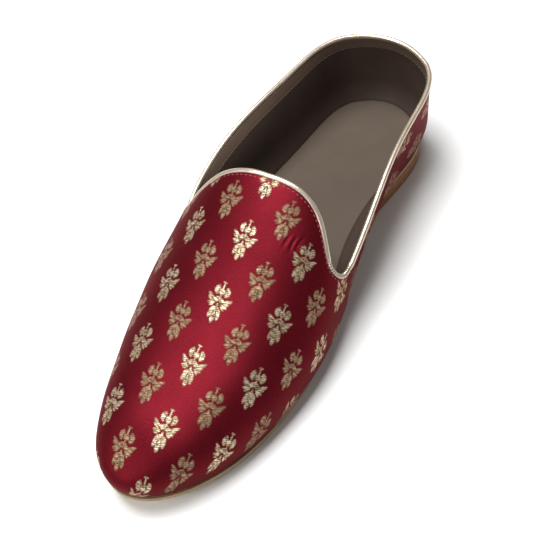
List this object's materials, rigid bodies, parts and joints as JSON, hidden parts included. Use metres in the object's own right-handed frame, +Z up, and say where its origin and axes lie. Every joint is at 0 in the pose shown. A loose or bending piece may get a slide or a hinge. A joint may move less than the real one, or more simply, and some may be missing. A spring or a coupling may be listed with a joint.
{
  "type": "khussa",
  "caption": "Right-foot slip-on leather-soled shoe with a whole-cut brocade upper, low quarters, piped topline and a stacked heel.",
  "frame": {"origin": "on the floor, below the middle of the shoe's bounding box", "axes": "+Z up, toe towards -Y, heel towards +Y, medial side towards +X, lateral side towards -X"},
  "size_m": [0.1054, 0.2836, 0.078],
  "materials": {
    "sole_leather": "undyed ivory sole leather, faintly mottled, with a raw tan edge",
    "heel_leather": "smooth tan stacked leather with small dark and pale specks",
    "brocade": "crimson satin twill with woven metallic gold sprigs, dark leather lining inside",
    "insole_lining": "matt grey-brown sock",
    "piping_leather": "pale champagne metallic rolled leather"
  },
  "bodies": {
    "root": {"outsole": "sole_leather", "heel_block": "heel_leather", "upper": "brocade", "insole": "insole_lining", "topline_piping": "piping_leather"}
  },
  "joints": []
}
